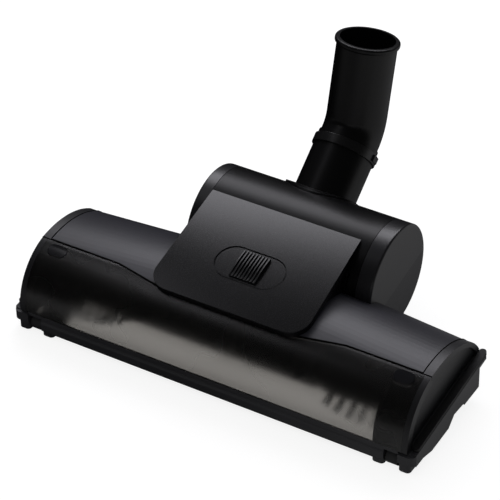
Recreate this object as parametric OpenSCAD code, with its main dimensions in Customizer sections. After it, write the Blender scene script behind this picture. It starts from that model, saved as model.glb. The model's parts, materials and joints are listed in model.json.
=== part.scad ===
/* [Head] */
// Width across the end caps
head_w = 268; // [250:1:300]
// Radius of the curved front window, outside
window_r = 36.4; // [35.8:0.1:37.2]
// Wall of the window
window_wall = 2.4; // [1.8:0.1:2.8]
// Radius of the rear cover's arch, outside
cover_r = 68; // [67.6:0.1:68.6]
// Wall of the rear cover
cover_wall = 2.4; // [1.8:0.1:2.8]
// Distance from the front edge of the window circle's centre line
seam_y = 26.2; // [25:0.1:28]
// Where the seam turns forward, from the middle
seam_bend_x = 78.5; // [72:0.5:90]
// Width of the arch band at each end
band_w = 5.8; // [4.5:0.1:8]
// Depth by which the end faces lie inside the arch
end_recess = 1.6; // [0.8:0.1:2.4]
// Depth of the window's rim at each end
rim_depth = 6; // [5:0.1:7]
// Height of the window's lower edge over the floor
window_bottom = 15; // [14:0.1:16.5]

/* [Lower housing] */
// Distance of the side skirts outside the end caps
skirt_out = 5; // [4.8:0.1:6.4]
// Wall of the lower housing
base_wall = 2.4; // [2:0.1:3]
// Height of the flange at the front
flange_z = 15; // [14.2:0.1:16]
// Slope of the flange, rising to the rear
flange_slope = 6.9; // [6:0.1:7.6]
// Rear edge of the flange
flange_rear = 88; // [86:0.5:90]
// Thickness of the rounded front lip
lip_r = 3.2; // [2.6:0.1:3.6]
// Thickness of the edge strip, from the side
bumper_h = 2.6; // [2:0.1:4]
// Width of the edge strip, from above
bumper_t = 4.8; // [4:0.1:5]
// Thickness of the sole plate
sole_t = 2; // [1.4:0.1:2.4]
// Clearance of the sole over the floor
sole_z = 1.6; // [1.2:0.1:2.2]

/* [Brush roll] */
// Reach of the bristles from the roll's axis
bristle_r = 23.9; // [21:0.1:24.2]
// Radius of the roll's core
core_r = 13; // [12:0.1:15]
// Radius of one tuft
tuft_r = 1.7; // [1.2:0.1:2]
// Tufts in one row, from the middle to one end
tufts_half = 15; // [8:1:16]
// Turn of a row of tufts, from the middle to one end
row_turn = 150; // [90:5:200]
// Space between the core and the chamber's end walls
core_end = 1.5; // [1:0.1:2.4]
// Radius of the steel pins in the core's ends
brush_pin_r = 3; // [2:0.1:4]

/* [Turbine and belt] */
// Outer radius of the turbine drum
drum_r = 35; // [34:0.1:36]
// Wall of the swivelling barrel
barrel_wall = 3; // [2.4:0.1:3.6]
// Half length of the swivelling barrel
barrel_x = 55.2; // [53:0.1:56]
// Offset of the barrel from the middle, towards the belt
drum_shift = 3; // [2.6:0.1:3.4]
// Depth of the round end at the left, as seen from the front
left_end_t = 8; // [6.8:0.1:9]
// Depth of the round end at the right, which holds the belt
right_end_t = 10.5; // [10.4:0.1:12]
// Height of the drum's axis over the floor
drum_z = 41.9; // [41:0.1:43]
// Distance of the drum's axis behind the front edge
drum_y = 106.7; // [105.5:0.1:109]
// Height of the split between the round ends' halves, at the front
split_z = 29.5; // [27:0.1:30.5]
// Rise of the split towards the rear
split_rise = 11; // [8:0.1:13]
// Radius of the turbine wheel
turbine_r = 26; // [22:0.5:28]
// Blades on the turbine wheel
turbine_blades = 16; // [10:1:20]
// Radius of the turbine shaft
shaft_r = 2.5; // [2:0.1:3]
// Outer radius of the shaft's ball bearings
bearing_r = 8; // [7:0.1:8.6]
// Width of the shaft's ball bearings
bearing_w = 5; // [4:0.1:5]
// Teeth of the drive pinion
pinion_teeth = 10; // [9:1:11]
// Teeth of the brush roll's belt groove
pulley_teeth = 21; // [19:1:22]
// Pitch of the belt's teeth
tooth_pitch = 3; // [2.8:0.05:3.1]
// Width of the drive belt
belt_w = 4.6; // [4:0.1:5]
// Thickness of the drive belt
belt_t = 1.3; // [1:0.1:1.6]

/* [Sloping plate] */
// Half width of the plate at its rear edge
plate_x = 51.6; // [50.5:0.1:52.4]
// Half width of the plate behind its front corners
plate_front_x = 53.3; // [52.6:0.1:55]
// Thickness of the plate's rim
plate_t = 4.5; // [4:0.1:5]
// Slope of the plate
plate_slope = 15.6; // [14.5:0.1:16]
// Front edge of the plate
plate_front_y = 16.7; // [16:0.1:19]
// Height of the plate's front edge
plate_front_z = 54; // [53.8:0.1:55]
// Rear edge of the plate
plate_rear_y = 92.1; // [89:0.1:94]
// Radius of the plate's front corners
plate_corner = 13; // [8:0.5:18]
// Length of the slider's track
track_l = 46.8; // [45:0.1:50]
// Width of the slider's track
track_w = 24.4; // [24:0.1:27]
// Depth of the slider's track
track_depth = 0.4; // [0.35:0.05:0.6]
// Width of the groove round the track
groove_w = 0.7; // [0.5:0.1:1]
// Depth of the groove round the track
groove_depth = 1.2; // [0.8:0.1:1.6]
// Distance of the track behind the plate's front edge
track_y = 34; // [31:0.1:38]
// Width of the slider
slider_w = 18; // [17.8:0.1:19]
// Depth of the slider, front to rear
slider_d = 19.8; // [17:0.1:20.2]
// Ribs on the slider
slider_ribs = 7; // [4:1:8]
// Height of the slider over the plate
slider_proud = 1.7; // [1.2:0.1:2.6]
// Travel of the slider each way
slider_travel = 7; // [4:0.5:7]

/* [Neck and elbow] */
// Lean of the neck from the vertical
neck_lean = 52.9; // [50:0.1:56]
// Distance of the neck's axis below the drum's axis
neck_drop = 6.5; // [4:0.1:8]
// Outer radius of the neck
neck_r = 19.8; // [19.4:0.1:20.2]
// Wall of the neck
neck_wall = 2.8; // [2.4:0.1:3]
// Distance of the neck's upper end from the drum's axis
neck_end = 68; // [66:0.5:70]
// Radius of the raised lip round the neck's foot
saddle_r = 26; // [24:0.1:27]
// Height of the raised lip over the barrel
saddle_h = 1.3; // [0.8:0.1:1.8]
// Outer radius of the collar ring
collar_r = 21.05; // [20.8:0.05:21.6]
// Length of the collar ring
collar_len = 6; // [5.6:0.1:7]
// Bend of the elbow
elbow_bend = 39.6; // [30:0.1:42]
// Swivel of the elbow as it stands
elbow_swivel = 1.4; // [-30:0.1:30]
// Radius of the elbow's bend
bend_r = 24; // [22:0.5:30]
// Bore radius of the mouth, for the vacuum cleaner's tube
mouth_r = 17.5; // [17.3:0.05:17.6]
// Depth of the mouth's bore
mouth_depth = 40; // [30:1:44]
// Wall of the elbow round the mouth
mouth_wall = 1.5; // [1.3:0.1:1.8]
// Length of the elbow's straight part
tube_len = 50.2; // [48:0.1:56]
// Radius of the rolled rim
rim_r = 20.4; // [20:0.1:20.8]

/* [Rollers] */
// Radius of the front rollers
roller_r = 5.5; // [5:0.1:5.8]
// Width of the front rollers
roller_w = 7.8; // [7:0.1:8.4]
// Radius of the rear wheels
wheel_r = 10; // [9.4:0.1:10.4]
// Width of the rear wheels
wheel_w = 5.2; // [4.4:0.1:5.4]
// Radius of the rollers' steel pins
pin_r = 1.5; // [1.2:0.1:1.8]

/* [Clearances] */
// Gap between pieces that move past each other
gap = 0.3; // [0.25:0.05:0.4]
// Radial running clearance of shafts and spigots
running = 0.05; // [0.03:0.01:0.09]

/* [Hidden] */
$fn = 96;
far = 400;
eps = 0.01;

head_x = head_w / 2;
window_y = 33.6;
window_z = 16.3;
cover_y = 38;
cover_z = -15;
rear_arc_y = 41;
rear_arc_z = -1;
rear_arc_r = 55.1;
crown_y = 44;
crown_z = -10;
crown_rise = [5, 2.6];
crown_x = 54;
seam_z = cover_z + sqrt(pow(cover_r, 2) - pow(cover_y - seam_y, 2));
seam_gap = 0.25;
plug_in = 14.6;
plug_x = head_x - plug_in;
plug_y = 20;
lint_from = 22;
lint_w = 7;
lint_t = 0.8;
plug_l = 13;
seam_front_x = 44.5;
seam_front_y = seam_y - 5.9;
band_x = head_x - band_w;
skirt_x = head_x + skirt_out;
side_x = band_x - base_wall;
chamber_in = 17.2;
chamber_x = band_x - chamber_in;
chamber_front = -2.5;
front_wall = 1.5;
sole_top = sole_z + sole_t;
sill_z = window_bottom - 0.1;
chamber_rear = 60.4;
sole_rear = 72.5;
base_rear = 79.2;
duct_side = 8.9;
duct_x = barrel_x - duct_side;
duct_z = 14;

// The brush roll's axis
brush_y = 30.5;
brush_z = 24.6;
bush_r = 9.9;
bush_l = 8.6;
journal_x = chamber_x - core_end;

// The round ends, measured from the middle along the drum
housing_in = barrel_x + gap;
left_out = housing_in + left_end_t;
right_out = housing_in + right_end_t;
edge_r = 1.4;
split_y = 72;
shell_t = 2.1;
spigot_r = drum_r - barrel_wall - running;
spigot_wall = 2.4;
spigot_in = housing_in - 5;
end_x = drum_shift + housing_in;
belt_x = end_x + right_end_t / 2;
pinion_pitch_r = pinion_teeth * tooth_pitch / (2 * PI);
pulley_pitch_r = pulley_teeth * tooth_pitch / (2 * PI);
tooth_h = 0.9;

// Along the neck, measured from the foot of the drop on its axis
neck_bore = neck_r - neck_wall;
collar_from = neck_end - 3;
flange_t = 1.4;
elbow_flange_r = neck_r - 1;
ring_from = collar_from + collar_len + gap;
ring_len = 2.9;
bend_from = ring_from + ring_len + 2;
elbow_r = mouth_r + mouth_wall;
elbow_bore = 15.2;
spigot_l = 14;
rim_h = 3.6;
rim_bead = 1.4;

// The front rollers and rear wheels
slot_side = 0.75;
slot_x1 = band_x + 0.1;
slot_x0 = slot_x1 - roller_w - 2 * slot_side;
pin_in = 7;
pin_out = 5.7;
roller_y = 3.6;
foot_z = 0.8;
foot_w = 8;
foot_d = 9;
pod_z = 3;
wheel_y = 104;
block_front = -3.5;
nub_front = -2.8;
wheel_x = belt_x + 1;

// The whole part stands over the middle of its own length
swivel_sin = sin(elbow_swivel);
tube_dir_y = sin(neck_lean) * cos(elbow_bend) - cos(neck_lean) * sin(elbow_bend) * cos(elbow_swivel);
neck_foot_y = drum_y + neck_drop * cos(neck_lean);
neck_foot_z = drum_z - neck_drop * sin(neck_lean);
bend_rise = bend_from + bend_r * sin(elbow_bend) + tube_len * cos(elbow_bend);
bend_side = bend_r * (1 - cos(elbow_bend)) + tube_len * sin(elbow_bend);
rim_y = neck_foot_y + bend_rise * sin(neck_lean) - bend_side * cos(elbow_swivel) * cos(neck_lean);
rear_y = rim_y + rim_r * sqrt(1 - pow(tube_dir_y, 2));
mid_y = (block_front + rear_y) / 2;

// Shared frames and profiles
module placed() {
    translate([0, -mid_y, 0]) children();
}

module on_side(side) {
    mirror([side < 0 ? 1 : 0, 0, 0]) children();
}

// Mirrored about the barrel's middle, for the round ends
module on_end(side) {
    translate([drum_shift, 0, 0]) on_side(side) translate([-drum_shift, 0, 0]) children();
}

module along_x(from, to) {
    translate([from, 0, 0]) rotate([90, 0, 90]) linear_extrude(to - from) children();
}

module on_drum() {
    translate([drum_shift, drum_y, drum_z]) rotate([0, 90, 0]) children();
}

module on_neck() {
    translate([0, neck_foot_y, neck_foot_z]) rotate([-neck_lean, 0, 0]) children();
}

module on_plate() {
    translate([0, plate_front_y, plate_front_z]) rotate([plate_slope, 0, 0]) children();
}

module on_flange() {
    translate([0, 0, flange_z]) rotate([flange_slope, 0, 0]) children();
}

module drum_space(from, to, radius) {
    on_drum() translate([0, 0, from]) cylinder(r = radius, h = to - from);
}

// Outline of the head at its ends, from the side, moved in by inset
module head_outline(inset = 0) {
    intersection() {
        translate([window_y, window_z]) circle(r = window_r - inset);
        translate([-far, -far]) square([far + seam_y, 2 * far]);
    }
    intersection() {
        translate([cover_y, cover_z]) circle(r = cover_r - inset);
        union() {
            translate([rear_arc_y, rear_arc_z]) circle(r = rear_arc_r - inset);
            translate([-far, -far]) square([far + rear_arc_y, 2 * far]);
        }
        translate([seam_y, -far]) square([far, 2 * far]);
    }
}

// Outline of the rear cover next to the plate, where it stands higher
module crown_outline(inset = 0) {
    intersection() {
        translate([window_y, window_z]) circle(r = window_r - inset);
        translate([-far, -far]) square([far + seam_y, 2 * far]);
    }
    intersection() {
        translate([crown_y, crown_z]) circle(r = norm([crown_y - seam_y, seam_z - crown_z]) - inset);
        union() {
            translate([rear_arc_y + crown_rise[0], rear_arc_z + crown_rise[1]]) circle(r = rear_arc_r - inset);
            translate([-far, -far]) square([far + rear_arc_y + crown_rise[0], 2 * far]);
        }
        translate([seam_y, -far]) square([far, 2 * far]);
    }
}

// Solid under the rear cover's surface: level in the middle, falling to both ends
module cover_body(inset, reach) {
    $fn = 120;
    slab = 2;
    intersection() {
        hull() for (side = [-1, 1]) on_side(side) {
            along_x(crown_x - slab, crown_x) crown_outline(inset);
            along_x(reach - slab, reach) head_outline(inset);
        }
        translate([-far, -far, 8]) cube([2 * far, far + flange_rear - inset, far]);
    }
}

module head_wall(from, to, outer, inner) {
    along_x(from, to) difference() {
        head_outline(outer);
        head_outline(inner);
    }
}

module over_flange() {
    on_flange() translate([-far / 2, -far / 2, 0]) cube([far, far, far]);
}

// Plan of everything in front of the seam
module ahead_of_seam(shift) {
    translate([0, 0, -eps]) linear_extrude(far) polygon([
        [-far, -far], [far, -far], [far, seam_y + shift], [seam_bend_x, seam_y + shift],
        [seam_front_x, seam_front_y + shift], [-seam_front_x, seam_front_y + shift],
        [-seam_bend_x, seam_y + shift], [-far, seam_y + shift]]);
}

// Loop of a belt round two wheels on the drum's and the brush roll's axes
module belt_loop(drum_wheel_r, brush_wheel_r) {
    run = sqrt(pow(drum_y - brush_y, 2) + pow(drum_z - brush_z, 2));
    rise = atan2(drum_z - brush_z, drum_y - brush_y);
    lean = asin((drum_wheel_r - brush_wheel_r) / run);
    translate([brush_y, brush_z]) rotate(rise) {
        circle(r = brush_wheel_r);
        translate([run, 0]) circle(r = drum_wheel_r);
        polygon([
            [-brush_wheel_r * sin(lean), brush_wheel_r * cos(lean)],
            [run - drum_wheel_r * sin(lean), drum_wheel_r * cos(lean)],
            [run - drum_wheel_r * sin(lean), -drum_wheel_r * cos(lean)],
            [-brush_wheel_r * sin(lean), -brush_wheel_r * cos(lean)]]);
    }
}

module belt_space() {
    along_x(belt_x - belt_w / 2 - 0.5, belt_x + belt_w / 2 + 0.5)
        belt_loop(pinion_pitch_r + belt_t + 0.9, pulley_pitch_r + belt_t + 0.9);
}

// Toothed wheel, teeth standing round a hub
module toothed(teeth, hub_r) {
    circle(r = hub_r);
    for (i = [0 : teeth - 1]) rotate(i * 360 / teeth)
        translate([hub_r - 0.6, -tooth_pitch / 5]) square([tooth_h + 0.6, tooth_pitch / 2.5]);
}

// The lower housing
ledge_drop = 0.8;

module under_flange() {
    on_flange() translate([-far / 2, -far / 2, -far - ledge_drop]) cube([far, far, far]);
}

module side_skirt() {
    intersection() {
        along_x(skirt_x - base_wall, skirt_x) polygon([
            [block_front + 3, 5.9], [8.8, 5.9], [19.3, 3], [40.4, 3.9], [47.2, 9.6], [base_rear, 7.2],
            [base_rear, 40], [block_front + 3, 40]]);
        under_flange();
    }
}

module flange_ledge() {
    ledge_x = side_x + base_wall / 3;
    // Ledge under the edge strip, and the higher seat of the end caps beside it
    on_flange() {
        translate([ledge_x, block_front + 2, -ledge_drop - base_wall])
            cube([skirt_x - base_wall / 2 - ledge_x, flange_rear - block_front - 2, base_wall]);
        translate([ledge_x, block_front + 2, -ledge_drop - base_wall / 2])
            cube([head_x - ledge_x, flange_rear - block_front - 2, ledge_drop + base_wall / 2]);
    }
}

module corner_block() {
    // Upper corner, and below it the foot beside the roller
    corner_r = 4;
    intersection() {
        translate([0, 0, 7]) linear_extrude(8) {
            translate([slot_x1, block_front]) square([skirt_x - slot_x1 - corner_r, 13]);
            translate([slot_x1, block_front + corner_r]) square([skirt_x - slot_x1, 8]);
            translate([skirt_x - corner_r, block_front + corner_r]) circle(r = corner_r);
        }
        translate([0, 0, -0.6]) under_flange();
    }
    foot(slot_x1, skirt_x - 3);
    foot(slot_x0 - foot_w, slot_x0);
}

module foot(from, to) {
    foot_r = 2.4;
    translate([0, 0, foot_z]) linear_extrude(9) {
        translate([from, nub_front + foot_r]) square([to - from, foot_d]);
        translate([from + foot_r, nub_front]) square([to - from - 2 * foot_r, foot_d]);
        translate([from + foot_r, nub_front + foot_r]) circle(r = foot_r);
        translate([to - foot_r, nub_front + foot_r]) circle(r = foot_r);
    }
}

// Half section of a round end: radius first, then the distance along the drum
module end_section(depth) {
    difference() {
        union() {
            translate([0, housing_in]) square([drum_r, depth - edge_r]);
            translate([0, housing_in]) square([drum_r - edge_r, depth]);
            translate([drum_r - edge_r, housing_in + depth - edge_r]) circle(r = edge_r);
        }
        translate([-1, housing_in + shell_t]) square([drum_r - shell_t + 1, depth - 2 * shell_t]);
        translate([-1, housing_in - 1]) square([spigot_r - spigot_wall + 1, shell_t + 2]);
    }
    // Spigot that the barrel turns on, partition and the bearing's seat
    translate([spigot_r - spigot_wall, spigot_in]) square([spigot_wall, housing_in + shell_t - spigot_in]);
    translate([bearing_r - 2, spigot_in]) square([spigot_r - bearing_r + 2, 2]);
    translate([bearing_r, spigot_in]) square([2, bearing_w - 0.1]);
}

module round_end(depth) {
    on_drum() rotate_extrude() difference() {
        end_section(depth);
        translate([0, spigot_in + 0.8]) square([bearing_r, 1.2]);
    }
}

module over_split(below = false) {
    translate([0, split_y, split_z]) rotate([split_rise, 0, 0])
        translate([-far / 2, -far / 2, below ? -far : 0]) cube([far, far, far]);
}

module wheel_pod() {
    // Cheeks of a rear wheel, standing below the round end
    intersection() {
        translate([end_x + shell_t / 2, wheel_y, wheel_r]) rotate([0, 90, 0])
            cylinder(r = wheel_r + 2.4, h = right_end_t - shell_t / 2);
        translate([0, 0, pod_z]) cube([far, far, split_z - pod_z]);
    }
}

module wheel_space() {
    translate([wheel_x - wheel_w / 2 - 0.4, wheel_y - wheel_r - 1, -1])
        cube([wheel_w + 0.8, 2 * wheel_r + 2, 2 * wheel_r + 2]);
    translate([end_x, wheel_y, wheel_r]) rotate([0, 90, 0]) cylinder(r = pin_r, h = 40);
}

module cradle(depth) {
    // Lower half of one round end, joined to the rear of the head
    out = end_x + depth;
    intersection() {
        round_end(depth);
        over_split(below = true);
    }
    difference() {
        along_x(end_x, out) difference() {
            translate([base_rear - 6, 7]) square([drum_y - base_rear + 6, split_z - 7]);
            translate([drum_y, drum_z]) circle(r = drum_r - 1);
        }
        along_x(end_x + shell_t, out - shell_t) translate([base_rear - 7, 9])
            square([drum_y - base_rear + 8, split_z - 11]);
    }
    wheel_pod();
}

module trough() {
    // Curved floor under the barrel
    along_x(drum_shift - housing_in - 1, drum_shift + housing_in + 1) intersection() {
        difference() {
            translate([drum_y, drum_z]) circle(r = drum_r + gap * 2 + base_wall);
            translate([drum_y, drum_z]) circle(r = drum_r + gap * 2);
        }
        polygon([[drum_y, drum_z], [drum_y - 60, drum_z - 24], [drum_y - 60, -10], [drum_y + 26, -10]]);
    }
}

module end_wall_outline() {
    intersection() {
        head_outline(cover_wall + gap);
        translate([chamber_front, sole_top]) square([base_rear - chamber_front, 60]);
    }
    translate([chamber_front + front_wall / 2, sole_top]) square([20, sill_z - sole_top]);
}

module chamber_walls() {
    // Front wall under the window's edge, and rear wall with the way to the turbine
    along_x(-band_x + 0.1, band_x - 0.1) {
        translate([chamber_front, sole_top]) square([front_wall, sill_z - sole_top]);
        intersection() {
            translate([chamber_rear, sole_top]) square([base_wall, 60]);
            head_outline(cover_wall + gap);
        }
    }
    // Inner end walls with the bushes' seats, and outer ones under the end caps
    for (side = [-1, 1]) on_side(side) {
        along_x(chamber_x, chamber_x + base_wall) end_wall_outline();
        along_x(side_x, band_x - 0.1) end_wall_outline();
        on_brush() translate([0, 0, chamber_x]) cylinder(r = bush_r + 2.1, h = bush_l);
    }
}

module front_lip() {
    along_x(-slot_x0, slot_x0) {
        translate([0, 5.4]) circle(r = lip_r);
        translate([0, 9.2]) circle(r = lip_r);
        translate([-lip_r, 5.4]) square([2 * lip_r, 3.8]);
        translate([0, sole_top]) square([lip_r + base_wall, 2]);
    }
}

module base_frame() color("dimgray") placed() {
    difference() {
        union() {
            chamber_walls();
            front_lip();
            // Floor behind the chamber, its rear wall and the flange along the rear
            translate([-skirt_x, chamber_rear, 7]) cube([2 * skirt_x, base_rear - chamber_rear, base_wall]);
            intersection() {
                translate([-skirt_x, base_rear - base_wall, 7]) cube([2 * skirt_x, base_wall, 40]);
                under_flange();
            }
            on_flange() translate([-skirt_x, base_rear - base_wall, -ledge_drop - base_wall])
                cube([2 * skirt_x, flange_rear - base_rear + base_wall, base_wall]);
            for (side = [-1, 1]) on_side(side) {
                side_skirt();
                flange_ledge();
                corner_block();
            }
            for (side = [-1, 1]) on_end(side) cradle(side < 0 ? left_end_t : right_end_t);
            trough();
        }
        // Ways through: to the turbine, along the belt, for the barrel, the rollers and the wheels
        translate([-duct_x, chamber_rear - 1, duct_z]) cube([2 * duct_x, base_wall + 2, 30]);
        belt_space();
        drum_space(-housing_in, housing_in, drum_r + gap);
        for (side = [-1, 1]) on_side(side) {
            translate([slot_x0, block_front - 1, -1]) cube([slot_x1 - slot_x0, 15.5, 13.5]);
            front_pin_solid();
            on_brush() translate([0, 0, journal_x]) cylinder(r = bush_r + 0.1, h = gap + bush_l + 0.1);
        }
        for (side = [-1, 1]) on_end(side) wheel_space();
    }
}

module sole_plate() color("dimgray") placed() translate([0, 0, sole_z]) linear_extrude(sole_t) difference() {
    mouth_front = 10;
    mouth_side = 0.6;
    foot_rear = nub_front + 2.4 + foot_d + gap;
    union() {
        translate([-slot_x0 + foot_w + gap, lip_r + 0.1])
            square([2 * (slot_x0 - foot_w - gap), mouth_front - lip_r]);
        translate([-slot_x0 + gap, foot_rear]) square([2 * (slot_x0 - gap), 4.6]);
        translate([-band_x, mouth_front + 0.6]) square([2 * band_x, sole_rear - mouth_front - 0.6]);
    }
    translate([-chamber_x + mouth_side, mouth_front])
        square([2 * (chamber_x - mouth_side), chamber_rear - mouth_front - 2]);
}

// The shells of the head
module front_window() color([0.3, 0.3, 0.32, 0.6]) placed() difference() {
    intersection() {
        union() {
            head_wall(-head_x, head_x, 0, window_wall);
            for (side = [-1, 1]) on_side(side) head_wall(head_x - 3.6, head_x, 0, rim_depth);
        }
        ahead_of_seam(-seam_gap);
        translate([-far, -far, window_bottom]) cube([2 * far, 2 * far, far]);
        union() {
            over_flange();
            translate([-band_x, -far, 0]) cube([2 * band_x, 2 * far, far]);
        }
    }
    for (side = [-1, 1]) on_side(side) plug_plan(0.15);
}

module top_cover() color([0.24, 0.24, 0.27]) placed() difference() {
    cover_body(0, band_x - 0.1);
    cover_body(cover_wall, band_x + 0.5);
    ahead_of_seam(seam_gap);
    on_flange() translate([-far, -far, -far]) cube([2 * far, 2 * far, far]);
    // Way up into the hood, and room for the drum
    translate([-duct_x - 1, 36, 20]) cube([2 * duct_x + 2, far, far]);
    drum_space(-left_out - gap, right_out + gap, drum_r + gap);
}

module end_cap(side) placed() on_side(side) {
    face_x = head_x - end_recess - 2;
    intersection() {
        union() {
            along_x(face_x, face_x + 2) {
                head_outline(rim_depth + 0.2);
                intersection() {
                    head_outline(3);
                    translate([seam_y + 1, -far]) square([far, 2 * far]);
                }
            }
            difference() {
                head_wall(band_x + 0.1, head_x, 0, 3.2);
                translate([0, -far + seam_y + 0.1, 0]) cube([far, far, far]);
            }
        }
        over_flange();
        translate([0, -far, 0]) cube([far, far + flange_rear - 0.4, far]);
    }
}

module end_cap_left() color([0.23, 0.23, 0.25]) end_cap(-1);
module end_cap_right() color([0.23, 0.23, 0.25]) end_cap(1);

module edge_bumper(side) placed() on_side(side) on_flange() translate([head_x + 0.1 + bumper_t / 2, 0, 0]) {
    strip_from = 4;
    translate([-bumper_t / 2, strip_from, -ledge_drop]) cube([bumper_t, flange_rear - strip_from, bumper_h]);
    for (y = [strip_from, flange_rear]) translate([0, y, -ledge_drop]) cylinder(r = bumper_t / 2, h = bumper_h);
}

module edge_bumper_left() color([0.12, 0.12, 0.13]) edge_bumper(-1);
module edge_bumper_right() color([0.12, 0.12, 0.13]) edge_bumper(1);

module plug_plan(grow = 0) {
    plug_r = 3.6;
    translate([plug_x, plug_y, 30]) linear_extrude(40) {
        for (x = [-1, 1]) translate([x * (plug_l / 2 - plug_r), 0]) circle(r = plug_r + grow);
        translate([-plug_l / 2 + plug_r, -plug_r - grow]) square([plug_l - 2 * plug_r, 2 * (plug_r + grow)]);
    }
}

module screw_plug(side) placed() on_side(side) intersection() {
    plug_plan();
    along_x(plug_x - plug_l, plug_x + plug_l) difference() {
        head_outline(-0.5);
        head_outline(window_wall - 0.4);
    }
}

module screw_plug_left() color([0.1, 0.1, 0.12]) screw_plug(-1);
module screw_plug_right() color([0.1, 0.1, 0.12]) screw_plug(1);

// The sloping plate with its hood and track
module plate_plan() {
    length = (plate_rear_y - plate_front_y) / cos(plate_slope);
    translate([-plate_front_x + plate_corner, 0]) square([2 * (plate_front_x - plate_corner), length]);
    polygon([[-plate_front_x, plate_corner], [plate_front_x, plate_corner], [plate_x, length], [-plate_x, length]]);
    for (x = [-1, 1]) translate([x * (plate_front_x - plate_corner), plate_corner]) circle(r = plate_corner);
}

module track_plan(length, width) {
    for (x = [-1, 1]) translate([x * (length - width) / 2, 0]) circle(r = width / 2);
    translate([-(length - width) / 2, -width / 2]) square([length - width, width]);
}

module centre_plate() color([0.26, 0.26, 0.27]) placed() difference() {
    union() {
        on_plate() translate([0, 0, -plate_t]) linear_extrude(plate_t) plate_plan();
        // Side walls of the hood, down to the rear cover and behind it
        for (side = [-1, 1]) on_side(side) along_x(plate_x - 3.4, plate_x - 1.2) polygon([
            [30, 40], [30, 55.2], [84, 70.4], [84, 40]]);
    }
    along_x(-far, far) crown_outline(-gap);
    drum_space(-far, far, drum_r + gap * 2);
    on_plate() translate([0, track_y, 0]) {
        difference() {
            translate([0, 0, -groove_depth]) linear_extrude(far) track_plan(track_l, track_w);
            translate([0, 0, -far]) linear_extrude(far - track_depth)
                track_plan(track_l - 2 * groove_w, track_w - 2 * groove_w);
        }
        translate([0, 0, -far / 2]) linear_extrude(far) track_plan(2 * slider_travel + 3.4, 3.4);
    }
}

module air_slider() color([0.2, 0.2, 0.21]) placed() on_plate() translate([0, track_y, 0]) {
    bottom = -track_depth + gap;
    rib_pitch = slider_w / (slider_ribs + 0.5);
    dish_r = 21;
    difference() {
        union() {
            translate([-slider_w / 2, -slider_d / 2, bottom]) cube([slider_w, slider_d, 0.6]);
            for (i = [0 : slider_ribs]) translate([-slider_w / 2 + i * rib_pitch, -slider_d / 2, bottom])
                cube([rib_pitch / 2, slider_d, slider_proud - bottom]);
        }
        translate([-slider_w, 0, bottom + 0.6 + dish_r]) rotate([0, 90, 0])
            cylinder(r = dish_r, h = 2 * slider_w);
    }
    // Guide pin and its head below the plate
    translate([0, 0, -plate_t - gap - 1]) cylinder(r = 1.4, h = plate_t + gap + 1.4);
    translate([0, 0, -plate_t - gap - 1.4]) cylinder(r = 3.4, h = 1.4);
}

module drum_housing(side) placed() on_end(side) intersection() {
    difference() {
        round_end(side < 0 ? left_end_t : right_end_t);
        if (side > 0) belt_space();
    }
    over_split();
}

module drum_housing_left() color([0.27, 0.27, 0.29]) drum_housing(-1);
module drum_housing_right() color([0.27, 0.27, 0.29]) drum_housing(1);

// The brush roll
function tuft_x(i) = 4 + (i + 0.5) * (journal_x - 8) / tufts_half;
function clear_of_belt(x) = abs(x - belt_x) > belt_w / 2 + tuft_r + 2.2;

module each_tuft() {
    for (side = [-1, 1]) for (i = [0 : tufts_half - 1]) for (row = [0, 180]) {
        x = side * tuft_x(i);
        if (clear_of_belt(x)) translate([x, brush_y, brush_z])
            rotate([row + row_turn * tuft_x(i) / journal_x, 0, 0]) children();
    }
}

module on_brush() {
    translate([0, brush_y, brush_z]) rotate([0, 90, 0]) children();
}

module brush_core() color([0.15, 0.15, 0.16]) placed() difference() {
    on_brush() difference() {
        translate([0, 0, -journal_x]) cylinder(r = core_r, h = 2 * journal_x);
        // Groove of the belt, with its teeth
        translate([0, 0, belt_x - belt_w / 2 - 0.8]) linear_extrude(belt_w + 1.6) difference() {
            circle(r = core_r + 1);
            toothed(pulley_teeth, pulley_pitch_r - tooth_h);
        }
        for (z = [-journal_x - 1, journal_x - 9]) translate([0, 0, z]) cylinder(r = brush_pin_r, h = 10);
    }
    each_tuft() translate([0, 0, core_r - 4]) cylinder(r = tuft_r, h = 10, $fn = 24);
}

module bristle_tufts() color([0.1, 0.1, 0.1]) placed()
    each_tuft() translate([0, 0, core_r - 4]) cylinder(r = tuft_r, h = bristle_r - core_r + 4, $fn = 24);

module brush_pin(side) placed() on_side(side) on_brush()
    translate([0, 0, journal_x - 9]) cylinder(r = brush_pin_r, h = 9 + gap + 5);

module brush_pin_left() color("silver") brush_pin(-1);
module brush_pin_right() color("silver") brush_pin(1);

module brush_bearing(side) placed() on_side(side) on_brush() difference() {
    translate([0, 0, journal_x + gap]) cylinder(r = bush_r, h = bush_l);
    translate([0, 0, journal_x - 1]) cylinder(r = brush_pin_r + running, h = 8);
}

module brush_bearing_left() color("white") brush_bearing(-1);
module brush_bearing_right() color("white") brush_bearing(1);

// The turbine and its drive
module turbine_wheel() color([0.75, 0.75, 0.72]) placed() on_drum() {
    half_l = spigot_in - 6;
    for (x = [-half_l, -0.8, half_l - 1.6]) translate([0, 0, x]) difference() {
        cylinder(r = turbine_r, h = 1.6);
        translate([0, 0, -1]) cylinder(r = shaft_r, h = 4);
    }
    translate([0, 0, -half_l]) linear_extrude(2 * half_l) {
        difference() {
            circle(r = shaft_r + 3.5);
            circle(r = shaft_r);
        }
        for (i = [0 : turbine_blades - 1]) rotate(i * 360 / turbine_blades)
            translate([turbine_r - 7, 0]) intersection() {
                difference() {
                    circle(r = 6.6);
                    circle(r = 5.4);
                }
                translate([-6.6, 0]) square([13.2, 7]);
            }
    }
}

module turbine_shaft() color("silver") placed() on_drum()
    translate([0, 0, -spigot_in - bearing_w - 1])
        cylinder(r = shaft_r, h = spigot_in + bearing_w + 1 + belt_x - drum_shift + belt_w / 2 + 0.4);

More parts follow.
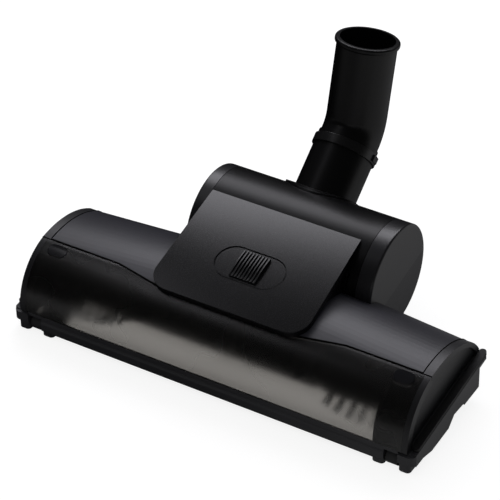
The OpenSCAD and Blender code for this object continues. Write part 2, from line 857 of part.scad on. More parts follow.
module turbine_pinion() color([0.8, 0.8, 0.76]) placed() on_drum()
    translate([0, 0, belt_x - drum_shift - belt_w / 2]) linear_extrude(belt_w) difference() {
        toothed(pinion_teeth, pinion_pitch_r - tooth_h);
        circle(r = shaft_r);
    }

module turbine_bearing(side) placed() on_end(side) on_drum()
    translate([0, 0, spigot_in + 0.8]) difference() {
        cylinder(r = bearing_r, h = bearing_w);
        translate([0, 0, -1]) cylinder(r = shaft_r + running, h = bearing_w + 2);
        // Shallow ring between the races
        for (z = [-1, bearing_w - 0.5]) translate([0, 0, z]) difference() {
            cylinder(r = bearing_r - 1.3, h = 1.5);
            translate([0, 0, -1]) cylinder(r = shaft_r + 1.4, h = 4);
        }
    }

module turbine_bearing_left() color("silver") turbine_bearing(-1);
module turbine_bearing_right() color("silver") turbine_bearing(1);

// Closed line round both belt wheels
module belt_line(drum_wheel_r, brush_wheel_r) {
    run = sqrt(pow(drum_y - brush_y, 2) + pow(drum_z - brush_z, 2));
    lean = 90 + asin((drum_wheel_r - brush_wheel_r) / run);
    steps = 24;
    polygon([
        for (i = [0 : steps]) let (a = lean + i * (360 - 2 * lean) / steps) brush_wheel_r * [cos(a), sin(a)],
        for (i = [0 : steps]) let (a = -lean + i * 2 * lean / steps) [run, 0] + drum_wheel_r * [cos(a), sin(a)]]);
}

module drive_belt() color([0.08, 0.08, 0.08]) placed() {
    rise = atan2(drum_z - brush_z, drum_y - brush_y);
    near_r = pulley_pitch_r + gap;
    far_r = pinion_pitch_r + gap;
    along_x(belt_x - belt_w / 2, belt_x + belt_w / 2) translate([brush_y, brush_z]) rotate(rise) difference() {
        belt_line(far_r + belt_t, near_r + belt_t);
        belt_line(far_r, near_r);
    }
}

// Barrel that tilts in the round ends, with the lower neck
module swivel_neck() color([0.2, 0.2, 0.22]) placed() difference() {
    union() {
        drum_space(-barrel_x, barrel_x, drum_r);
        on_neck() cylinder(r = neck_r, h = neck_end);
        // Raised lip round the neck's foot
        intersection() {
            drum_space(-barrel_x, barrel_x, drum_r + saddle_h);
            on_neck() cylinder(r = saddle_r, h = neck_end);
        }
    }
    drum_space(-far, far, drum_r - barrel_wall);
    on_neck() cylinder(r = neck_bore, h = far);
    // Air inlet of the barrel, facing the hood
    along_x(drum_shift - spigot_in + 1, drum_shift + spigot_in - 1) translate([drum_y, drum_z])
        polygon([[0, 0], [-60, -14], [-60, 37]]);
}

module collar_ring() color([0.16, 0.16, 0.17]) placed() on_neck() {
    rotate_extrude() translate([0, collar_from]) difference() {
        translate([0, 0]) square([collar_r, collar_len]);
        translate([-1, -1]) square([neck_r + running + 1, neck_end - collar_from + 1]);
        translate([-1, -1]) square([elbow_flange_r + gap + 1, neck_end - collar_from + 1 + flange_t + 2 * gap]);
        translate([-1, -1]) square([elbow_flange_r - 1.2 + 1, collar_len + 2]);
    }
    // Thumb tab on the ring's side
    translate([collar_r - 0.6, -3.4, collar_from + 0.8]) cube([1.6, 6.8, collar_len - 1.6]);
}

module elbow_tube() color([0.17, 0.17, 0.18]) placed() on_neck() rotate([0, 0, elbow_swivel]) {
    throat_r = elbow_flange_r - 1.2 - gap;
    lap = 0.3;
    sliver = 0.02;
    // Spigot in the neck, flange under the ring, throat and outer ring
    rotate_extrude() difference() {
        union() {
            translate([0, neck_end - spigot_l]) square([neck_bore - running, spigot_l + 1]);
            translate([0, neck_end + gap]) square([elbow_flange_r, flange_t]);
            translate([0, neck_end]) square([throat_r, ring_from - neck_end + lap]);
            translate([0, ring_from]) square([neck_r, ring_len]);
            translate([0, ring_from]) square([elbow_r, bend_from - ring_from + lap]);
        }
        translate([-1, 0]) square([elbow_bore + 1, far]);
    }
    // Bend, then the straight tube with its rolled rim
    translate([0, -bend_r, bend_from]) {
        rotate([90, 0, 90]) rotate_extrude(angle = elbow_bend) translate([bend_r, 0]) difference() {
            circle(r = elbow_r - sliver);
            circle(r = elbow_bore + sliver);
        }
        rotate([elbow_bend, 0, 0]) translate([0, bend_r, 0]) rotate_extrude() difference() {
            union() {
                translate([0, -lap]) square([elbow_r, tube_len - 1 + lap]);
                translate([0, tube_len - rim_h]) square([rim_r - rim_bead, rim_h]);
                for (z = [rim_h - rim_bead, rim_bead]) translate([rim_r - rim_bead, tube_len - z])
                    circle(r = rim_bead);
            }
            translate([-1, -1]) square([elbow_bore + 1, far]);
            translate([-1, tube_len - mouth_depth]) square([mouth_r + 1, far]);
        }
    }
}

// Rollers, wheels and their pins
module front_pin_solid() {
    translate([slot_x0 - pin_in, roller_y, roller_r]) rotate([0, 90, 0])
        cylinder(r = pin_r, h = slot_x1 - slot_x0 + pin_in + pin_out);
}

module front_roller(side) placed() on_side(side)
    translate([(slot_x0 + slot_x1 - roller_w) / 2, roller_y, roller_r]) rotate([0, 90, 0]) difference() {
        cylinder(r = roller_r, h = roller_w);
        translate([0, 0, -1]) cylinder(r = pin_r + running, h = roller_w + 2);
    }

module front_roller_left() color([0.1, 0.1, 0.1]) front_roller(-1);
module front_roller_right() color([0.1, 0.1, 0.1]) front_roller(1);

module front_pin(side) placed() on_side(side)
    front_pin_solid();

module front_pin_left() color("silver") front_pin(-1);
module front_pin_right() color("silver") front_pin(1);

module rear_wheel(side) placed() on_end(side)
    translate([wheel_x - wheel_w / 2, wheel_y, wheel_r]) rotate([0, 90, 0]) difference() {
        cylinder(r = wheel_r, h = wheel_w);
        translate([0, 0, -1]) cylinder(r = pin_r + running, h = wheel_w + 2);
        for (z = [-1, wheel_w - 0.8]) translate([0, 0, z]) difference() {
            cylinder(r = wheel_r - 1.8, h = 1.8);
            translate([0, 0, -1]) cylinder(r = pin_r + 1.8, h = 4);
        }
    }

module rear_wheel_left() color([0.1, 0.1, 0.1]) rear_wheel(-1);
module rear_wheel_right() color([0.1, 0.1, 0.1]) rear_wheel(1);

module rear_pin(side) placed() on_end(side)
    translate([end_x + shell_t, wheel_y, wheel_r]) rotate([0, 90, 0])
        cylinder(r = pin_r, h = right_end_t - shell_t);

module rear_pin_left() color("silver") rear_pin(-1);
module rear_pin_right() color("silver") rear_pin(1);

module lint_strips() color("firebrick") placed() for (side = [-1, 1]) on_side(side)
    translate([lint_from, chamber_rear + 1, sole_z - lint_t])
        cube([chamber_x - 2 * lint_from, lint_w, lint_t]);

base_frame();
sole_plate();
front_window();
top_cover();
end_cap_left();
end_cap_right();
edge_bumper_left();
edge_bumper_right();
screw_plug_left();
screw_plug_right();
centre_plate();
air_slider();
drum_housing_left();
drum_housing_right();
brush_core();
bristle_tufts();
brush_pin_left();
brush_pin_right();
brush_bearing_left();
brush_bearing_right();
turbine_wheel();
turbine_shaft();
turbine_pinion();
turbine_bearing_left();
turbine_bearing_right();
drive_belt();
swivel_neck();
collar_ring();
elbow_tube();
front_roller_left();
front_roller_right();
front_pin_left();
front_pin_right();
rear_wheel_left();
rear_wheel_right();
rear_pin_left();
rear_pin_right();
lint_strips();
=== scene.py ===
# Turbo brush head for a vacuum cleaner: the imported parts with their finishes, and the pieces that
# only the eye needs: the bristles' strands, the slider's grip ribs and painted shade in the shells' gaps.
# Everything is in metres, in the frame of the parts.
import json
import math
import random

import bmesh
import bpy
from mathutils import Matrix, Vector
from mathutils.bvhtree import BVHTree


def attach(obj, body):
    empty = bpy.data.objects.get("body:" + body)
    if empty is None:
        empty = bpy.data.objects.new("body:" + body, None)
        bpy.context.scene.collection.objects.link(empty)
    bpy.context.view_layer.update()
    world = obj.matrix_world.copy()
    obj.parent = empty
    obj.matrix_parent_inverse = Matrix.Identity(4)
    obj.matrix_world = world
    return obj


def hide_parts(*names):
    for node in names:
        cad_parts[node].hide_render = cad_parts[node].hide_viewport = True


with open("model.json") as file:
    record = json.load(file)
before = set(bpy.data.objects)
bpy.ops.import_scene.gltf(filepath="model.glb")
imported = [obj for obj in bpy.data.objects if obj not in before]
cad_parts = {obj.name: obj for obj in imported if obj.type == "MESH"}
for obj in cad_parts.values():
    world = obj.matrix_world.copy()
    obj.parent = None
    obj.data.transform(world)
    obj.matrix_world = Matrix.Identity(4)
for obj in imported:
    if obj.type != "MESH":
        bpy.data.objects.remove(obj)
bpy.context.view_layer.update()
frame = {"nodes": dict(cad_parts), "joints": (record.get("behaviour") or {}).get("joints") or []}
parts = frame["nodes"]
joints = {joint["name"]: joint for joint in frame["joints"]}
brush_axis = Vector(joints["brush_spin"]["pos_m"])
scene = bpy.context.scene
mm = 0.001
# The head is measured from a line near its front edge, 30.5 mm ahead of the roll's axis. The frame's
# middle lies this far behind that line.
middle_y = 30.5 * mm - brush_axis.y
# The sloping plate: its slope, and the places of its front and rear edges
plate_slope = math.radians(15.6)
plate_front_y = 16.7 * mm - middle_y
plate_front_z = 54 * mm
plate_rear_y = 92.1 * mm - middle_y
# Edges sharper than this get a rounding or a seam
sharp_angle = math.radians(40)


# Colours and nodes
def srgb(hexadecimal):
    """Linear colour of a hex value such as 3a3a3f."""
    channels = []
    for start in (0, 2, 4):
        value = int(hexadecimal[start:start + 2], 16) / 255
        channels.append(value / 12.92 if value <= 0.04045 else ((value + 0.055) / 1.055) ** 2.4)
    return (*channels, 1.0)


def add(material, kind, settings=None, values=None, links=None):
    """Adds one node: its settings, the values of its sockets, and its links from other nodes' outputs."""
    node = material.node_tree.nodes.new(kind)
    for key, value in (settings or {}).items():
        setattr(node, key, value)
    for key, value in (values or {}).items():
        node.inputs[key].default_value = value
    for key, output in (links or {}).items():
        material.node_tree.links.new(output, node.inputs[key])
    return node


def new_material(name):
    material = bpy.data.materials.new(name)
    material.use_nodes = True
    material.node_tree.nodes.clear()
    return material


def colour_stops(node, stops):
    ramp = node.color_ramp
    while len(ramp.elements) < len(stops):
        ramp.elements.new(0.5)
    for element, (position, colour) in zip(ramp.elements, stops):
        element.position = position
        element.color = colour


def moulded(name, dark, light, roughness, grain_mm, grain_depth_mm, spread=0.05, ior=1.53, crown=None):
    """Moulded plastic or rubber: a grain of the tool's eroded face, and a slow change of tone from the flow.

    A crown of (rise, front, rear) arches the face a little from front to rear, as such plates are."""
    material = new_material(name)
    place = add(material, "ShaderNodeTexCoord").outputs["Object"]
    flow_size = 45 * mm
    flow = add(material, "ShaderNodeTexNoise", values={
        "Scale": 1 / flow_size, "Detail": 2.0}, links={"Vector": place})
    tone = add(material, "ShaderNodeValToRGB", links={"Fac": flow.outputs["Fac"]})
    colour_stops(tone, [(0.35, srgb(dark)), (0.65, srgb(light))])
    grain = add(material, "ShaderNodeTexNoise", values={
        "Scale": 1 / (grain_mm * mm), "Detail": 3.0, "Roughness": 0.6}, links={"Vector": place})
    shine = add(material, "ShaderNodeMapRange", values={
        "From Min": 0.3, "From Max": 0.7, "To Min": roughness - spread, "To Max": roughness + spread}, links={
        "Value": grain.outputs["Fac"]})
    bump = add(material, "ShaderNodeBump", values={
        "Strength": 1.0, "Distance": grain_depth_mm * mm}, links={"Height": grain.outputs["Fac"]})
    if crown:
        rise, front, rear = crown
        half = (rear - front) / 2
        along = add(material, "ShaderNodeSeparateXYZ", links={0: place})
        off_middle = add(material, "ShaderNodeMath", {"operation": "SUBTRACT"}, {1: (front + rear) / 2}, {
            0: along.outputs["Y"]})
        squared = add(material, "ShaderNodeMath", {"operation": "MULTIPLY"}, links={
            0: off_middle.outputs["Value"], 1: off_middle.outputs["Value"]})
        arch = add(material, "ShaderNodeMath", {"operation": "MULTIPLY"}, {1: -rise / half ** 2}, {
            0: squared.outputs["Value"]})
        arched = add(material, "ShaderNodeBump", values={"Strength": 1.0, "Distance": 1.0}, links={
            "Height": arch.outputs["Value"]})
        material.node_tree.links.new(arched.outputs["Normal"], bump.inputs["Normal"])
    surface = add(material, "ShaderNodeBsdfPrincipled", values={"IOR": ior}, links={
        "Base Color": tone.outputs["Color"], "Roughness": shine.outputs["Result"],
        "Normal": bump.outputs["Normal"]})
    add(material, "ShaderNodeOutputMaterial", links={"Surface": surface.outputs["BSDF"]})
    return material


# ABS from an eroded tool, light catches on its fine grain
housing_abs = moulded("moulded_abs_housing", "232326", "28282b", 0.46, 0.5, 0.012)
# The same ABS on the end caps, smoother and darker
cap_abs = moulded("moulded_abs_end_cap", "141417", "18181b", 0.44, 0.6, 0.008)
# Satin ABS of the rear cover, a slightly violet grey with a soft wide sheen
cover_abs = moulded("satin_abs_cover", "232329", "27272e", 0.44, 0.6, 0.008, 0.04)
# Matt ABS of the sloping plate, whose arch would end 22 mm behind its rear edge
plate_abs = moulded("matt_abs_plate", "060608", "09090b", 0.25, 0.4, 0.005,
                    crown=(2.2 * mm, plate_front_y, plate_rear_y + 22 * mm))
# Satin ABS of the round ends and the barrel
drum_abs = moulded("satin_abs_drum", "121215", "161619", 0.33, 0.6, 0.008, 0.04)
# Polypropylene of the neck and elbow, nearly black and matt
neck_pp = moulded("matt_polypropylene_neck", "040405", "060607", 0.36, 0.55, 0.01, 0.05, 1.36)
# Polypropylene with a soft sheen, on the ring and the slider
collar_pp = moulded("satin_polypropylene_collar", "09090a", "0c0c0d", 0.36, 0.5, 0.01, 0.05, 1.49)
slider_pp = moulded("satin_polypropylene_slider", "09090a", "0d0d0e", 0.34, 0.5, 0.01, 0.05, 1.49)
# Thermoplastic rubber: dull, with no bright edge
edge_rubber = moulded("moulded_rubber_edge", "070708", "0a0a0b", 0.62, 0.7, 0.02, 0.06, 1.42)
wheel_rubber = moulded("moulded_rubber_wheel", "1a1a1b", "222224", 0.66, 0.7, 0.02, 0.06, 1.5)
belt_rubber = moulded("belt_rubber", "111112", "171718", 0.7, 0.8, 0.02, 0.06, 1.5)
# Painted shade: the black of the lines that stand in for the shade of the narrow gaps between the shells
painted_seam_shade_black = moulded("painted_seam_shade", "020202", "030303", 0.9, 0.7, 0.01, 0.02, 1.15)
# Polished plug, the one gloss piece beside the window
plug_gloss = moulded("gloss_abs_plug", "121214", "151518", 0.12, 1.5, 0.002, 0.02)
# Hard black ABS of the roll and the turbine's pinion; on the turbine wheel this black is painted shade
roll_abs_and_turbine_shade = moulded("moulded_abs_roll_and_turbine_shade", "1a1a1c", "202022", 0.45, 0.6, 0.01)
# Uncoloured nylon of the bushes, warm white and waxy
natural_nylon = moulded("natural_nylon", "b9b5a6", "c6c2b4", 0.38, 0.9, 0.006, 0.05, 1.53)


def smoked_polycarbonate():
    """Clear polycarbonate tinted in the mass, faintly hazy, with its thick rims at both ends opaque and dark.
    """
    rim_starts = 130.3 * mm
    wave_size = 30 * mm
    material = new_material("smoked_clear_polycarbonate")
    place = add(material, "ShaderNodeTexCoord").outputs["Object"]
    waves = add(material, "ShaderNodeTexNoise", values={
        "Scale": 1 / wave_size, "Detail": 1.0}, links={"Vector": place})
    bump = add(material, "ShaderNodeBump", values={
        "Strength": 0.35, "Distance": 0.02 * mm}, links={"Height": waves.outputs["Fac"]})
    haze = add(material, "ShaderNodeMapRange", values={
        "To Min": 0.24, "To Max": 0.3}, links={"Value": waves.outputs["Fac"]})
    clear = add(material, "ShaderNodeBsdfPrincipled", values={
        "Base Color": srgb("8a8783"), "IOR": 1.58, "Transmission Weight": 1.0}, links={
        "Normal": bump.outputs["Normal"], "Roughness": haze.outputs["Result"]})
    opaque_dark_rim = add(material, "ShaderNodeBsdfPrincipled", values={
        "Base Color": srgb("141417"), "IOR": 1.5, "Roughness": 0.4}, links={"Normal": bump.outputs["Normal"]})
    across = add(material, "ShaderNodeSeparateXYZ", links={0: place})
    outward = add(material, "ShaderNodeMath", {"operation": "ABSOLUTE"}, links={0: across.outputs["X"]})
    rim = add(material, "ShaderNodeMath", {"operation": "GREATER_THAN"}, {1: rim_starts}, {
        0: outward.outputs["Value"]})
    surface = add(material, "ShaderNodeMixShader", links={
        0: rim.outputs["Value"], 1: clear.outputs["BSDF"], 2: opaque_dark_rim.outputs["BSDF"]})
    add(material, "ShaderNodeOutputMaterial", links={"Surface": surface.outputs["Shader"]})
    return material


def ground_steel():
    """Ground steel pin: fine scratches round the axis."""
    material = new_material("ground_steel")
    place = add(material, "ShaderNodeTexCoord").outputs["Object"]
    scratch_gap = 0.2 * mm
    scratch_length = 4 * mm
    squeezed = add(material, "ShaderNodeMapping", values={
        "Scale": (1 / scratch_gap, 1 / scratch_length, 1 / scratch_length)}, links={"Vector": place})
    scratches = add(material, "ShaderNodeTexNoise", values={
        "Scale": 1.0, "Detail": 2.0}, links={"Vector": squeezed.outputs["Vector"]})
    shine = add(material, "ShaderNodeMapRange", values={
        "To Min": 0.22, "To Max": 0.4}, links={"Value": scratches.outputs["Fac"]})
    surface = add(material, "ShaderNodeBsdfPrincipled", values={
        "Base Color": srgb("c4c4c6"), "Metallic": 1.0}, links={"Roughness": shine.outputs["Result"]})
    add(material, "ShaderNodeOutputMaterial", links={"Surface": surface.outputs["BSDF"]})
    return material


def nylon_bristle():
    """Extruded black nylon filament: a soft gloss along each strand."""
    material = new_material("black_nylon_filament")
    place = add(material, "ShaderNodeTexCoord").outputs["Object"]
    streak_size = 2 * mm
    streaks = add(material, "ShaderNodeTexNoise", values={"Scale": 1 / streak_size}, links={"Vector": place})
    tone = add(material, "ShaderNodeValToRGB", links={"Fac": streaks.outputs["Fac"]})
    colour_stops(tone, [(0.3, srgb("121213")), (0.7, srgb("1f1f21"))])
    surface = add(material, "ShaderNodeBsdfPrincipled", values={
        "Roughness": 0.42, "IOR": 1.53}, links={"Base Color": tone.outputs["Color"]})
    add(material, "ShaderNodeOutputMaterial", links={"Surface": surface.outputs["BSDF"]})
    return material


def lint_pile():
    """Short red pile that only lets lint slide one way."""
    material = new_material("red_lint_pile")
    place = add(material, "ShaderNodeTexCoord").outputs["Object"]
    pile_gap = 0.6 * mm
    pile = add(material, "ShaderNodeTexVoronoi", values={"Scale": 1 / pile_gap}, links={"Vector": place})
    tone = add(material, "ShaderNodeValToRGB", links={"Fac": pile.outputs["Distance"]})
    colour_stops(tone, [(0.1, srgb("9c2b2b")), (0.7, srgb("6b1717"))])
    bump = add(material, "ShaderNodeBump", values={
        "Strength": 1.0, "Distance": 0.3 * mm}, links={"Height": pile.outputs["Distance"]})
    surface = add(material, "ShaderNodeBsdfPrincipled", values={
        "Roughness": 0.85, "Sheen Weight": 0.5}, links={
        "Base Color": tone.outputs["Color"], "Normal": bump.outputs["Normal"]})
    add(material, "ShaderNodeOutputMaterial", links={"Surface": surface.outputs["BSDF"]})
    return material


window_clear = smoked_polycarbonate()
steel = ground_steel()
filament = nylon_bristle()
lint = lint_pile()

finishes = {
    "base_frame": housing_abs, "sole_plate": housing_abs,
    "front_window": window_clear, "top_cover": cover_abs,
    "end_cap_left": cap_abs, "end_cap_right": cap_abs,
    "edge_bumper_left": edge_rubber, "edge_bumper_right": edge_rubber,
    "screw_plug_left": plug_gloss, "screw_plug_right": plug_gloss,
    "centre_plate": plate_abs, "air_slider": slider_pp,
    "drum_housing_left": drum_abs, "drum_housing_right": drum_abs,
    "brush_core": roll_abs_and_turbine_shade, "bristle_tufts": filament,
    "brush_pin_left": steel, "brush_pin_right": steel,
    "brush_bearing_left": natural_nylon, "brush_bearing_right": natural_nylon,
    # The turbine wheel takes the roll's black as painted shade, where it shows through the gap by the drum
    "turbine_wheel": roll_abs_and_turbine_shade, "turbine_shaft": steel, "turbine_pinion": roll_abs_and_turbine_shade,
    "turbine_bearing_left": steel, "turbine_bearing_right": steel, "drive_belt": belt_rubber,
    "swivel_neck": neck_pp, "collar_ring": collar_pp, "elbow_tube": neck_pp,
    "front_roller_left": wheel_rubber, "front_roller_right": wheel_rubber,
    "front_pin_left": steel, "front_pin_right": steel,
    "rear_wheel_left": wheel_rubber, "rear_wheel_right": wheel_rubber,
    "rear_pin_left": steel, "rear_pin_right": steel, "lint_strips": lint,
}


def round_edges(piece, width):
    """Rounds the sharp edges of a piece by a small bevel."""
    rounding = piece.modifiers.new("edge_rounding", "BEVEL")
    rounding.width = width
    rounding.segments = 2
    rounding.limit_method = "ANGLE"
    rounding.angle_limit = sharp_angle
    rounding.use_clamp_overlap = True


def finish_part(name, material):
    """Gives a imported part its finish, and rounds its sharp edges, finer at the slider's groove."""
    part = parts[name]
    part.data.materials.clear()
    part.data.materials.append(material)
    weld = part.modifiers.new("weld", "WELD")
    weld.merge_threshold = 0.001 * mm
    round_edges(part, 0.12 * mm if name == "centre_plate" else 0.3 * mm)
    shading = part.modifiers.new("even_shading", "WEIGHTED_NORMAL")
    shading.mode = "FACE_AREA_WITH_ANGLE"
    shading.keep_sharp = True


for part_name, material in finishes.items():
    finish_part(part_name, material)


# New pieces
def new_piece(name, made, material, body):
    """Turns a bmesh into a piece that rides on a body."""
    mesh = bpy.data.meshes.new(name)
    made.to_mesh(mesh)
    made.free()
    mesh.materials.append(material)
    piece = bpy.data.objects.new(name, mesh)
    scene.collection.objects.link(piece)
    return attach(piece, body)


def bristle_strands():
    """Each tuft as a fan of nylon strands, in the two rows that wind from the middle to both ends."""
    chance = random.Random(5)
    made = bmesh.new()
    tufts_half = 15
    core_half = 109.5 * mm
    core_margin = 4 * mm
    row_turn = math.radians(150)
    belt_x = 63.75 * mm
    belt_room = 6.2 * mm
    root, reach = 11.5 * mm, 23.6 * mm
    strands_in_tuft = 26
    tuft_r = 1.5 * mm
    foot_r, tip_r = 0.2 * mm, 0.14 * mm
    for side in (-1, 1):
        for step in range(tufts_half):
            along = core_margin + (step + 0.5) * (core_half - 2 * core_margin) / tufts_half
            if abs(side * along - belt_x) < belt_room:
                continue
            for row in (0, math.pi):
                turn = row + row_turn * along / core_half
                out = Vector((0, -math.sin(turn), math.cos(turn)))
                around = Vector((0, -math.cos(turn), -math.sin(turn)))
                foot = brush_axis + Vector((side * along, 0, 0))
                for strand in range(strands_in_tuft):
                    seat = Vector((chance.uniform(-1, 1), 0, 0)) * tuft_r
                    seat += around * chance.uniform(-1, 1) * tuft_r
                    lean = Vector((1, 0, 0)) * chance.gauss(0, 0.1) + around * chance.gauss(0, 0.07)
                    direction = (out + lean).normalized()
                    length = (reach - root) * chance.uniform(0.93, 1.0)
                    middle = foot + out * root + seat + direction * length / 2
                    turned = direction.to_track_quat("Z", "Y").to_matrix().to_4x4()
                    bmesh.ops.create_cone(
                        made, cap_ends=True, segments=4, radius1=foot_r, radius2=tip_r,
                        depth=length, matrix=Matrix.Translation(middle) @ turned)
    strands = new_piece("bristle_strands", made, filament, "brush")
    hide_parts("bristle_tufts")


bristle_strands()


def slider_ribs():
    """The air slider: nine grip ribs that rise to the middle, on a thin base with its guide pin below."""
    width, depth = 18 * mm, 19.8 * mm
    base_low, base_high = -0.1 * mm, 0.5 * mm
    ribs = 9
    rib_width, rib_block = 0.9 * mm, 0.4 * mm
    front_high, crest_high, rear_high = 1.0 * mm, 2.1 * mm, 1.3 * mm
    pin_r, pin_length = 1.4 * mm, 5.8 * mm
    foot_r, foot_high, foot_z = 3.4 * mm, 1.4 * mm, -5.5 * mm
    up_the_plate = 34 * mm
    made = bmesh.new()
    for rib in range(ribs):
        across = (rib / (ribs - 1) - 0.5) * (width - rib_width)
        bmesh.ops.create_cube(made, size=1, matrix=Matrix.Translation((across, 0, base_high))
                              @ Matrix.Diagonal((rib_width, depth, rib_block, 1)))
    long_edges = [edge for edge in made.edges if edge.calc_length() > depth / 2]
    bmesh.ops.subdivide_edges(made, edges=long_edges, cuts=11)
    for vertex in made.verts:
        if vertex.co.z > base_high:
            end_high = rear_high if vertex.co.y > 0 else front_high
            away = min(1, abs(vertex.co.y) / (depth / 2))
            vertex.co.z = end_high + (crest_high - end_high) * math.cos(away * math.pi / 2)
    bmesh.ops.create_cube(made, size=1, matrix=Matrix.Translation((0, 0, (base_low + base_high) / 2))
                          @ Matrix.Diagonal((width, depth, base_high - base_low, 1)))
    bmesh.ops.create_cone(made, cap_ends=True, segments=24, radius1=pin_r, radius2=pin_r, depth=pin_length,
                          matrix=Matrix.Translation((0, 0, -pin_length / 2)))
    bmesh.ops.create_cone(made, cap_ends=True, segments=32, radius1=foot_r, radius2=foot_r, depth=foot_high,
                          matrix=Matrix.Translation((0, 0, foot_z)))
    front_edge = Matrix.Translation((0, plate_front_y, plate_front_z))
    track = front_edge @ Matrix.Rotation(plate_slope, 4, "X") @ Matrix.Translation((0, up_the_plate, 0))
    bmesh.ops.transform(made, matrix=track, verts=made.verts)
    piece = new_piece("slider_ribs", made, slider_pp, "slider")
    round_edges(piece, 0.12 * mm)
    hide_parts("air_slider")


slider_ribs()


def painted_seam_shade_lines():
    """Painted shade: black lines in the gaps between cover, window and end caps, along the shells' outer
    edges.
    """
    line_r = 0.36 * mm
    widest_gap = 0.6 * mm
    cover_foot_z = 30 * mm
    outside = Vector((0, -0.3, 0.95))
    sight = 40 * mm
    shells = {}
    for name in ("top_cover", "front_window", "end_cap_left", "end_cap_right"):
        shell = bmesh.new()
        shell.from_mesh(parts[name].data)
        bmesh.ops.remove_doubles(shell, verts=shell.verts, dist=0.001 * mm)
        shell.normal_update()
        shells[name] = (shell, BVHTree.FromBMesh(shell))
    made = bmesh.new()
    for name in ("top_cover", "front_window"):
        others = [tree for other, (shell, tree) in shells.items() if other != name]
        for edge in shells[name][0].edges:
            if len(edge.link_faces) != 2 or edge.calc_face_angle() < sharp_angle:
                continue
            start, end = (vertex.co for vertex in edge.verts)
            middle = (start + end) / 2
            outward = (edge.link_faces[0].normal + edge.link_faces[1].normal).normalized()
            if middle.z < cover_foot_z and name == "top_cover" or outward.z < 0:
                continue
            gap = min((tree.find_nearest(middle)[3] or 1) for tree in others)
            start_sight = middle + outside * mm
            covered = any(tree.ray_cast(start_sight, outside, sight)[0] for shell, tree in shells.values())
            if gap > widest_gap or covered:
                continue
            turned = (end - start).to_track_quat("Z", "Y").to_matrix().to_4x4()
            bmesh.ops.create_cone(
                made, cap_ends=True, segments=6, radius1=line_r, radius2=line_r,
                depth=(end - start).length, matrix=Matrix.Translation(middle) @ turned)
    for shell, tree in shells.values():
        shell.free()
    # The lines are painted shade, black where the gaps between the shells fall dark
    new_piece("painted_seam_shade_lines", made, painted_seam_shade_black, "head")


painted_seam_shade_lines()


# Studio: pale floor, soft lamps, and the camera at the photograph's angle
def looked_at(material):
    """One for a look at the background, straight or through the window, and nothing for bounced light."""
    path = add(material, "ShaderNodeLightPath")
    bounces = add(material, "ShaderNodeMath", {"operation": "SUBTRACT"}, links={
        0: path.outputs["Ray Depth"], 1: path.outputs["Transmission Depth"]})
    unbounced = add(material, "ShaderNodeMath", {"operation": "LESS_THAN"}, {1: 0.5}, {
        0: bounces.outputs["Value"]})
    through = add(material, "ShaderNodeMath", {"operation": "MULTIPLY"}, links={
        0: path.outputs["Is Transmission Ray"], 1: unbounced.outputs["Value"]})
    seen = add(material, "ShaderNodeMath", {"operation": "MAXIMUM"}, links={
        0: path.outputs["Is Camera Ray"], 1: through.outputs["Value"]})
    return path, seen


def studio_floor():
    """White paper with the object's shadow. Mirrored, it glows pale at the right and in front, as painted
    reflection.
    """
    paper_glow = 0.84
    made = bmesh.new()
    bmesh.ops.create_grid(
        made, x_segments=1, y_segments=1, size=6.0, matrix=Matrix.Translation((0, 0, -0.2 * mm)))
    mesh = bpy.data.meshes.new("studio_floor")
    made.to_mesh(mesh)
    made.free()
    floor = bpy.data.objects.new("studio_floor", mesh)
    scene.collection.objects.link(floor)
    material = new_material("white_paper_floor")
    path, seen = looked_at(material)
    place = add(material, "ShaderNodeTexCoord").outputs["Object"]
    across = add(material, "ShaderNodeSeparateXYZ", links={0: place})
    # Painted shade in reflections: behind at the left, glossy rays see the paper dark
    behind = add(material, "ShaderNodeMapRange", values={"From Min": -0.2, "From Max": -0.05}, links={
        "Value": across.outputs["Y"]})
    leftward = add(material, "ShaderNodeMapRange", values={"From Min": 0.08, "From Max": -0.05}, links={
        "Value": across.outputs["X"]})
    corner = add(material, "ShaderNodeMath", {"operation": "MULTIPLY"}, links={
        0: behind.outputs["Result"], 1: leftward.outputs["Result"]})
    unlit = add(material, "ShaderNodeMath", {"operation": "MULTIPLY"}, links={
        0: corner.outputs["Value"], 1: path.outputs["Is Glossy Ray"]})
    paper = add(material, "ShaderNodeMix", {"data_type": "RGBA"}, {6: srgb("8a8a8a"), 7: srgb("101010")}, {
        0: unlit.outputs["Value"]})
    # Painted reflection: glows that only glossy rays see, at the right and in front
    painted_glow_right = add(material, "ShaderNodeMapRange", values={"From Max": 0.3, "To Max": 0.5}, links={
        "Value": across.outputs["X"]})
    painted_glow_ahead = add(material, "ShaderNodeMapRange", values={
        "From Min": -0.11, "From Max": -0.2, "To Max": 0.2}, links={"Value": across.outputs["Y"]})
    painted_glows = add(material, "ShaderNodeMath", {"operation": "MAXIMUM"}, links={
        0: painted_glow_right.outputs["Result"], 1: painted_glow_ahead.outputs["Result"]})
    mirrored = add(material, "ShaderNodeMath", {"operation": "MULTIPLY"}, links={
        0: path.outputs["Is Glossy Ray"], 1: painted_glows.outputs["Value"]})
    plain = add(material, "ShaderNodeMath", {"operation": "MULTIPLY"}, {1: paper_glow}, {
        0: seen.outputs["Value"]})
    glow = add(material, "ShaderNodeMath", {"operation": "MAXIMUM"}, links={
        0: plain.outputs["Value"], 1: mirrored.outputs["Value"]})
    surface = add(material, "ShaderNodeBsdfPrincipled", values={
        "Roughness": 0.9, "Specular IOR Level": 0.1, "Emission Color": srgb("ffffff")},
        links={"Base Color": paper.outputs[2], "Emission Strength": glow.outputs["Value"]})
    add(material, "ShaderNodeOutputMaterial", links={"Surface": surface.outputs["BSDF"]})
    mesh.materials.append(material)


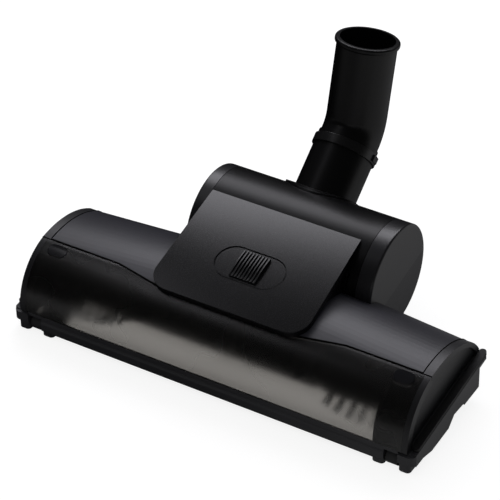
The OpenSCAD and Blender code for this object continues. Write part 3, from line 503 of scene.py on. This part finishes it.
def studio_world():
    """White to the eye, soft grey as light, and nearly dark when mirrored, as round a dark object."""
    light_level, mirrored_level = 0.5, 0.03
    world = bpy.data.worlds.new("studio")
    scene.world = world
    world.use_nodes = True
    world.node_tree.nodes.clear()
    path, seen = looked_at(world)
    bounced = add(world, "ShaderNodeMapRange", values={
        "To Min": light_level, "To Max": mirrored_level}, links={"Value": path.outputs["Glossy Depth"]})
    level = add(world, "ShaderNodeMath", {"operation": "MAXIMUM"}, links={
        0: bounced.outputs["Result"], 1: seen.outputs["Value"]})
    glow = add(world, "ShaderNodeBackground", values={"Color": (1, 1, 1, 1)}, links={
        "Strength": level.outputs["Value"]})
    add(world, "ShaderNodeOutputWorld", links={"Surface": glow.outputs["Background"]})


def lamp(name, place, aim, size, power):
    """A soft rectangular lamp, slightly cool, that the camera doesn't see."""
    data = bpy.data.lights.new(name, "AREA")
    data.shape = "RECTANGLE"
    data.size, data.size_y = size
    data.energy = power
    data.color = (0.95, 0.94, 1.0)
    item = bpy.data.objects.new(name, data)
    scene.collection.objects.link(item)
    item.location = place
    item.visible_camera = False
    item.rotation_euler = (Vector(aim) - Vector(place)).to_track_quat("-Z", "Y").to_euler()


def studio_camera():
    """The camera in the place and turn that the photograph was taken from; its picture is 500 pixels wide."""
    picture_width = 500
    focal_length = 2450.59
    data = bpy.data.cameras.new("camera")
    camera = bpy.data.objects.new("camera", data)
    scene.collection.objects.link(camera)
    right = Vector((0.85847, 0.51255, -0.01767))
    up = Vector((-0.29948, 0.52896, 0.79405))
    ahead = Vector((-0.41634, 0.67638, -0.60760))
    turned = Matrix((right, up, -ahead)).transposed().to_4x4()
    camera.matrix_world = Matrix.Translation((0.602618, -0.929093 - middle_y, 0.955488)) @ turned
    data.sensor_width = 36
    data.lens = data.sensor_width * focal_length / picture_width
    data.clip_start, data.clip_end = 0.1, 20
    scene.camera = camera


studio_floor()
studio_world()
# The soft box above and behind, a small one for the window's upper edge, and a faint fill from the front
lamp("overhead", (-0.18, 0.41, 0.6), (0.0, 0.0, 0.05), (0.68, 0.34), 3.1)
lamp("front_top", (-0.38, -0.18, 0.72), (0, -0.08, 0.05), (0.4, 0.12), 0.13)
lamp("front_fill", (0.3, -1.6, 0.35), (0, 0, 0.04), (0.9, 0.5), 0.6)
studio_camera()
scene.view_settings.view_transform = "Standard"
